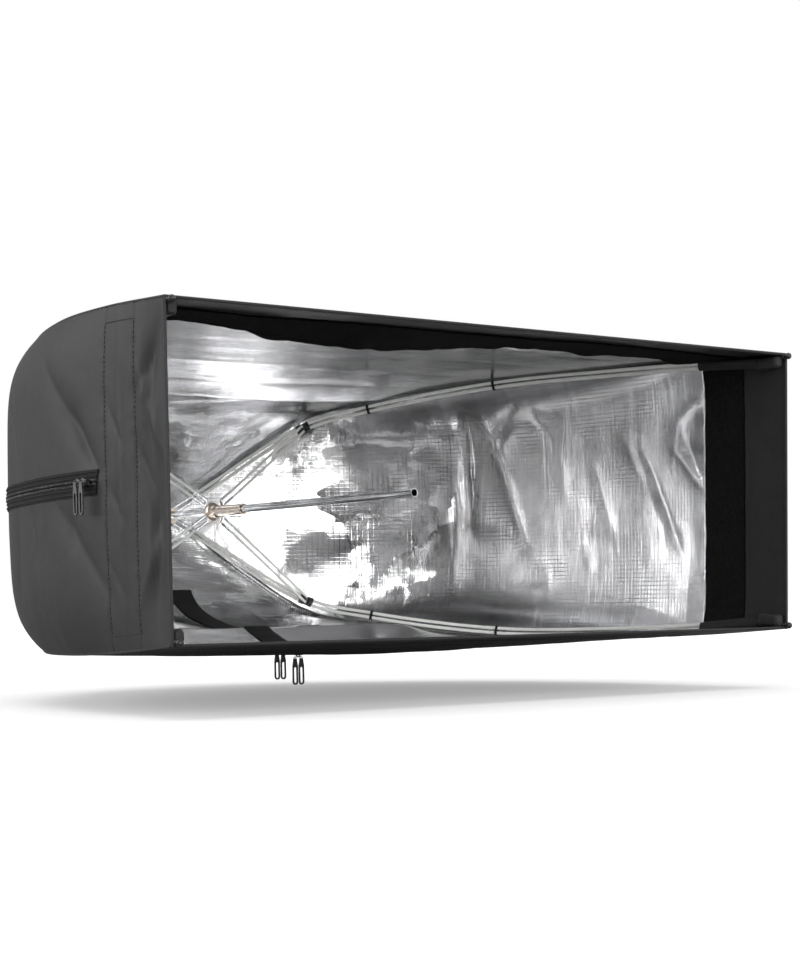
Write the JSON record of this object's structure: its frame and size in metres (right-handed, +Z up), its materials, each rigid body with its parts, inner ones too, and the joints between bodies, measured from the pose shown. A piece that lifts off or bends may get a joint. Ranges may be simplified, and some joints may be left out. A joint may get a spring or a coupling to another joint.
{
  "type": "strip softbox",
  "caption": "Rectangular strip softbox on a folding umbrella frame: sliding runner, hinged ribs and stretchers, silver-lined cloth canopy with zipped openings.",
  "frame": {"origin": "centre of the end cap's rear face, on the line of the shaft, 606 mm behind the plane of the front opening", "axes": "+X to the right when looking into the opening, +Y back along the shaft towards the crown, +Z up"},
  "size_m": [0.6664, 0.6141, 0.3156],
  "materials": {
    "nylon": "coated nylon, satin, charcoal outside and metallised silver inside",
    "loop_tape": "fuzzy loop tape, black",
    "zip_tape": "woven zip tape and coil, black",
    "chrome": "polished",
    "champagne": "satin champagne plating",
    "fibreglass": "translucent fibreglass rod",
    "black_plastic": "moulded, matt",
    "black_metal": "black enamel, semi-gloss"
  },
  "bodies": {
    "root": {"shaft": "chrome", "crown": "champagne", "back_washer": "black_plastic", "end_cap": "black_plastic", "top_panel": "nylon", "bottom_panel": "nylon", "top_loop_band": "loop_tape", "bottom_loop_band": "loop_tape", "bottom_zip_tape": "zip_tape"},
    "runner": {"runner": "champagne"},
    "runner_catch": {"runner_catch": "black_metal"},
    "rib_top_right": {"rib_ferrule_top_right": "chrome", "rib_rods_top_right": "fibreglass", "rib_bracket_top_right": "black_metal", "rib_tip_top_right": "chrome", "corner_pocket_top_right": "nylon"},
    "stretcher_top_right": {"stretcher_rods_top_right": "fibreglass", "stretcher_ferrule_top_right": "chrome"},
    "side_top_right": {"side_panel_top_right": "nylon", "side_loop_band_top_right": "loop_tape"},
    "rib_top_left": {"rib_ferrule_top_left": "chrome", "rib_rods_top_left": "fibreglass", "rib_bracket_top_left": "black_metal", "rib_tip_top_left": "chrome", "corner_pocket_top_left": "nylon"},
    "stretcher_top_left": {"stretcher_rods_top_left": "fibreglass", "stretcher_ferrule_top_left": "chrome"},
    "side_top_left": {"side_panel_top_left": "nylon", "side_loop_band_top_left": "loop_tape", "side_zip_tape_upper": "zip_tape"},
    "rib_bottom_right": {"rib_ferrule_bottom_right": "chrome", "rib_rods_bottom_right": "fibreglass", "rib_bracket_bottom_right": "black_metal", "rib_tip_bottom_right": "chrome", "corner_pocket_bottom_right": "nylon"},
    "stretcher_bottom_right": {"stretcher_rods_bottom_right": "fibreglass", "stretcher_ferrule_bottom_right": "chrome"},
    "side_bottom_right": {"side_panel_bottom_right": "nylon", "side_loop_band_bottom_right": "loop_tape"},
    "rib_bottom_left": {"rib_ferrule_bottom_left": "chrome", "rib_rods_bottom_left": "fibreglass", "rib_bracket_bottom_left": "black_metal", "rib_tip_bottom_left": "chrome", "corner_pocket_bottom_left": "nylon"},
    "stretcher_bottom_left": {"stretcher_rods_bottom_left": "fibreglass", "stretcher_ferrule_bottom_left": "chrome"},
    "side_bottom_left": {"side_panel_bottom_left": "nylon", "side_loop_band_bottom_left": "loop_tape", "side_zip_tape_lower": "zip_tape"},
    "side_zip_front_slider": {"side_zip_front_slider": "black_metal"},
    "side_zip_front_pull": {"side_zip_front_pull": "black_metal"},
    "side_zip_rear_slider": {"side_zip_rear_slider": "black_metal"},
    "side_zip_rear_pull": {"side_zip_rear_pull": "black_metal"},
    "bottom_zip_front_slider": {"bottom_zip_front_slider": "black_metal"},
    "bottom_zip_front_pull_left": {"bottom_zip_front_pull_left": "black_metal"},
    "bottom_zip_front_pull_right": {"bottom_zip_front_pull_right": "black_metal"},
    "bottom_zip_rear_slider": {"bottom_zip_rear_slider": "black_metal"},
    "bottom_zip_rear_pull_left": {"bottom_zip_rear_pull_left": "black_metal"},
    "bottom_zip_rear_pull_right": {"bottom_zip_rear_pull_right": "black_metal"}
  },
  "joints": [
    {"name": "runner_slide", "type": "slide", "parent": "root", "child": "runner", "axis": [0, -1, 0], "range_m": [0, 0.138]},
    {"name": "catch_press", "type": "hinge", "parent": "runner", "child": "runner_catch", "pos_m": [0, -0.1595, -0.0066], "axis": [-1, 0, 0], "range_deg": [0, 3]},
    {"name": "rib_fold_top_right", "type": "hinge", "parent": "root", "child": "rib_top_right", "pos_m": [0.00766, -0.031, 0.00643], "axis": [0.3584, 0, -0.9336], "range_deg": [0, 26.1]},
    {"name": "stretcher_fold_top_right", "type": "hinge", "parent": "rib_top_right", "child": "stretcher_top_right", "pos_m": [0.12913, -0.09994, 0.0919], "axis": [-0.3584, 0, 0.9336], "range_deg": [0, 64.45]},
    {"name": "side_pleat_top_right", "type": "hinge", "parent": "rib_top_right", "child": "side_top_right", "pos_m": [0.00766, -0.031, 0.00643], "axis": [-0.6635, -0.0815, 0.7438], "range_deg": [0, 13.95]},
    {"name": "rib_fold_top_left", "type": "hinge", "parent": "root", "child": "rib_top_left", "pos_m": [-0.00766, -0.031, 0.00643], "axis": [0.3584, 0, 0.9336], "range_deg": [0, 26.1]},
    {"name": "stretcher_fold_top_left", "type": "hinge", "parent": "rib_top_left", "child": "stretcher_top_left", "pos_m": [-0.12913, -0.09994, 0.0919], "axis": [-0.3584, 0, -0.9336], "range_deg": [0, 64.45]},
    {"name": "side_pleat_top_left", "type": "hinge", "parent": "rib_top_left", "child": "side_top_left", "pos_m": [-0.00766, -0.031, 0.00643], "axis": [-0.6635, 0.0815, -0.7438], "range_deg": [0, 13.95]},
    {"name": "rib_fold_bottom_right", "type": "hinge", "parent": "root", "child": "rib_bottom_right", "pos_m": [0.00766, -0.031, -0.00643], "axis": [-0.3584, 0, -0.9336], "range_deg": [0, 26.1]},
    {"name": "stretcher_fold_bottom_right", "type": "hinge", "parent": "rib_bottom_right", "child": "stretcher_bottom_right", "pos_m": [0.12913, -0.09994, -0.0919], "axis": [0.3584, 0, 0.9336], "range_deg": [0, 64.45]},
    {"name": "side_pleat_bottom_right", "type": "hinge", "parent": "rib_bottom_right", "child": "side_bottom_right", "pos_m": [0.00766, -0.031, -0.00643], "axis": [0.6635, 0.0815, 0.7438], "range_deg": [0, 13.95]},
    {"name": "rib_fold_bottom_left", "type": "hinge", "parent": "root", "child": "rib_bottom_left", "pos_m": [-0.00766, -0.031, -0.00643], "axis": [-0.3584, 0, 0.9336], "range_deg": [0, 26.1]},
    {"name": "stretcher_fold_bottom_left", "type": "hinge", "parent": "rib_bottom_left", "child": "stretcher_bottom_left", "pos_m": [-0.12913, -0.09994, -0.0919], "axis": [0.3584, 0, -0.9336], "range_deg": [0, 64.45]},
    {"name": "side_pleat_bottom_left", "type": "hinge", "parent": "rib_bottom_left", "child": "side_bottom_left", "pos_m": [-0.00766, -0.031, -0.00643], "axis": [0.6635, -0.0815, -0.7438], "range_deg": [0, 13.95]},
    {"name": "side_zip_front_slide", "type": "slide", "parent": "side_top_left", "child": "side_zip_front_slider", "axis": [0.0699, 0.9976, 0], "range_m": [0, 0.02]},
    {"name": "side_zip_rear_slide", "type": "slide", "parent": "side_zip_front_slider", "child": "side_zip_rear_slider", "axis": [0.0699, 0.9976, 0], "range_m": [0, 0.02]},
    {"name": "side_zip_front_pull_lift", "type": "hinge", "parent": "side_zip_front_slider", "child": "side_zip_front_pull", "pos_m": [-0.33557, -0.48164, 0.001], "axis": [0.0699, 0.9976, 0], "range_deg": [0, 85]},
    {"name": "side_zip_rear_pull_lift", "type": "hinge", "parent": "side_zip_rear_slider", "child": "side_zip_rear_pull", "pos_m": [-0.33518, -0.47224, 0.001], "axis": [0.0699, 0.9976, 0], "range_deg": [0, 85]},
    {"name": "bottom_zip_front_slide", "type": "slide", "parent": "root", "child": "bottom_zip_front_slider", "axis": [0, 1, 0], "range_m": [0, 0.01]},
    {"name": "bottom_zip_front_pull_left_swing", "type": "hinge", "parent": "bottom_zip_front_slider", "child": "bottom_zip_front_pull_left", "pos_m": [-0.0036, -0.276, -0.15247], "axis": [1, 0, 0], "range_deg": [-75, 20]},
    {"name": "bottom_zip_front_pull_right_swing", "type": "hinge", "parent": "bottom_zip_front_slider", "child": "bottom_zip_front_pull_right", "pos_m": [0.0036, -0.276, -0.15247], "axis": [1, 0, 0], "range_deg": [-75, 20]},
    {"name": "bottom_zip_rear_slide", "type": "slide", "parent": "root", "child": "bottom_zip_rear_slider", "axis": [0, 0.9888, 0.1494], "range_m": [0, 0.03]},
    {"name": "bottom_zip_rear_pull_left_swing", "type": "hinge", "parent": "bottom_zip_rear_slider", "child": "bottom_zip_rear_pull_left", "pos_m": [-0.0036, -0.244, -0.1497], "axis": [1, 0, 0], "range_deg": [-20, 75]},
    {"name": "bottom_zip_rear_pull_right_swing", "type": "hinge", "parent": "bottom_zip_rear_slider", "child": "bottom_zip_rear_pull_right", "pos_m": [0.0036, -0.244, -0.1497], "axis": [1, 0, 0], "range_deg": [-20, 75]}
  ],
  "couplings": [
    {"joint": "rib_fold_top_right", "follows": "runner_slide", "rad_per_m": 3.2883},
    {"joint": "stretcher_fold_top_right", "follows": "runner_slide", "rad_per_m": 8.1259},
    {"joint": "side_pleat_top_right", "follows": "runner_slide", "rad_per_m": 1.7521},
    {"joint": "rib_fold_top_left", "follows": "runner_slide", "rad_per_m": 3.2883},
    {"joint": "stretcher_fold_top_left", "follows": "runner_slide", "rad_per_m": 8.1259},
    {"joint": "side_pleat_top_left", "follows": "runner_slide", "rad_per_m": 1.7521},
    {"joint": "rib_fold_bottom_right", "follows": "runner_slide", "rad_per_m": 3.2883},
    {"joint": "stretcher_fold_bottom_right", "follows": "runner_slide", "rad_per_m": 8.1259},
    {"joint": "side_pleat_bottom_right", "follows": "runner_slide", "rad_per_m": 1.7521},
    {"joint": "rib_fold_bottom_left", "follows": "runner_slide", "rad_per_m": 3.2883},
    {"joint": "stretcher_fold_bottom_left", "follows": "runner_slide", "rad_per_m": 8.1259},
    {"joint": "side_pleat_bottom_left", "follows": "runner_slide", "rad_per_m": 1.7521}
  ]
}
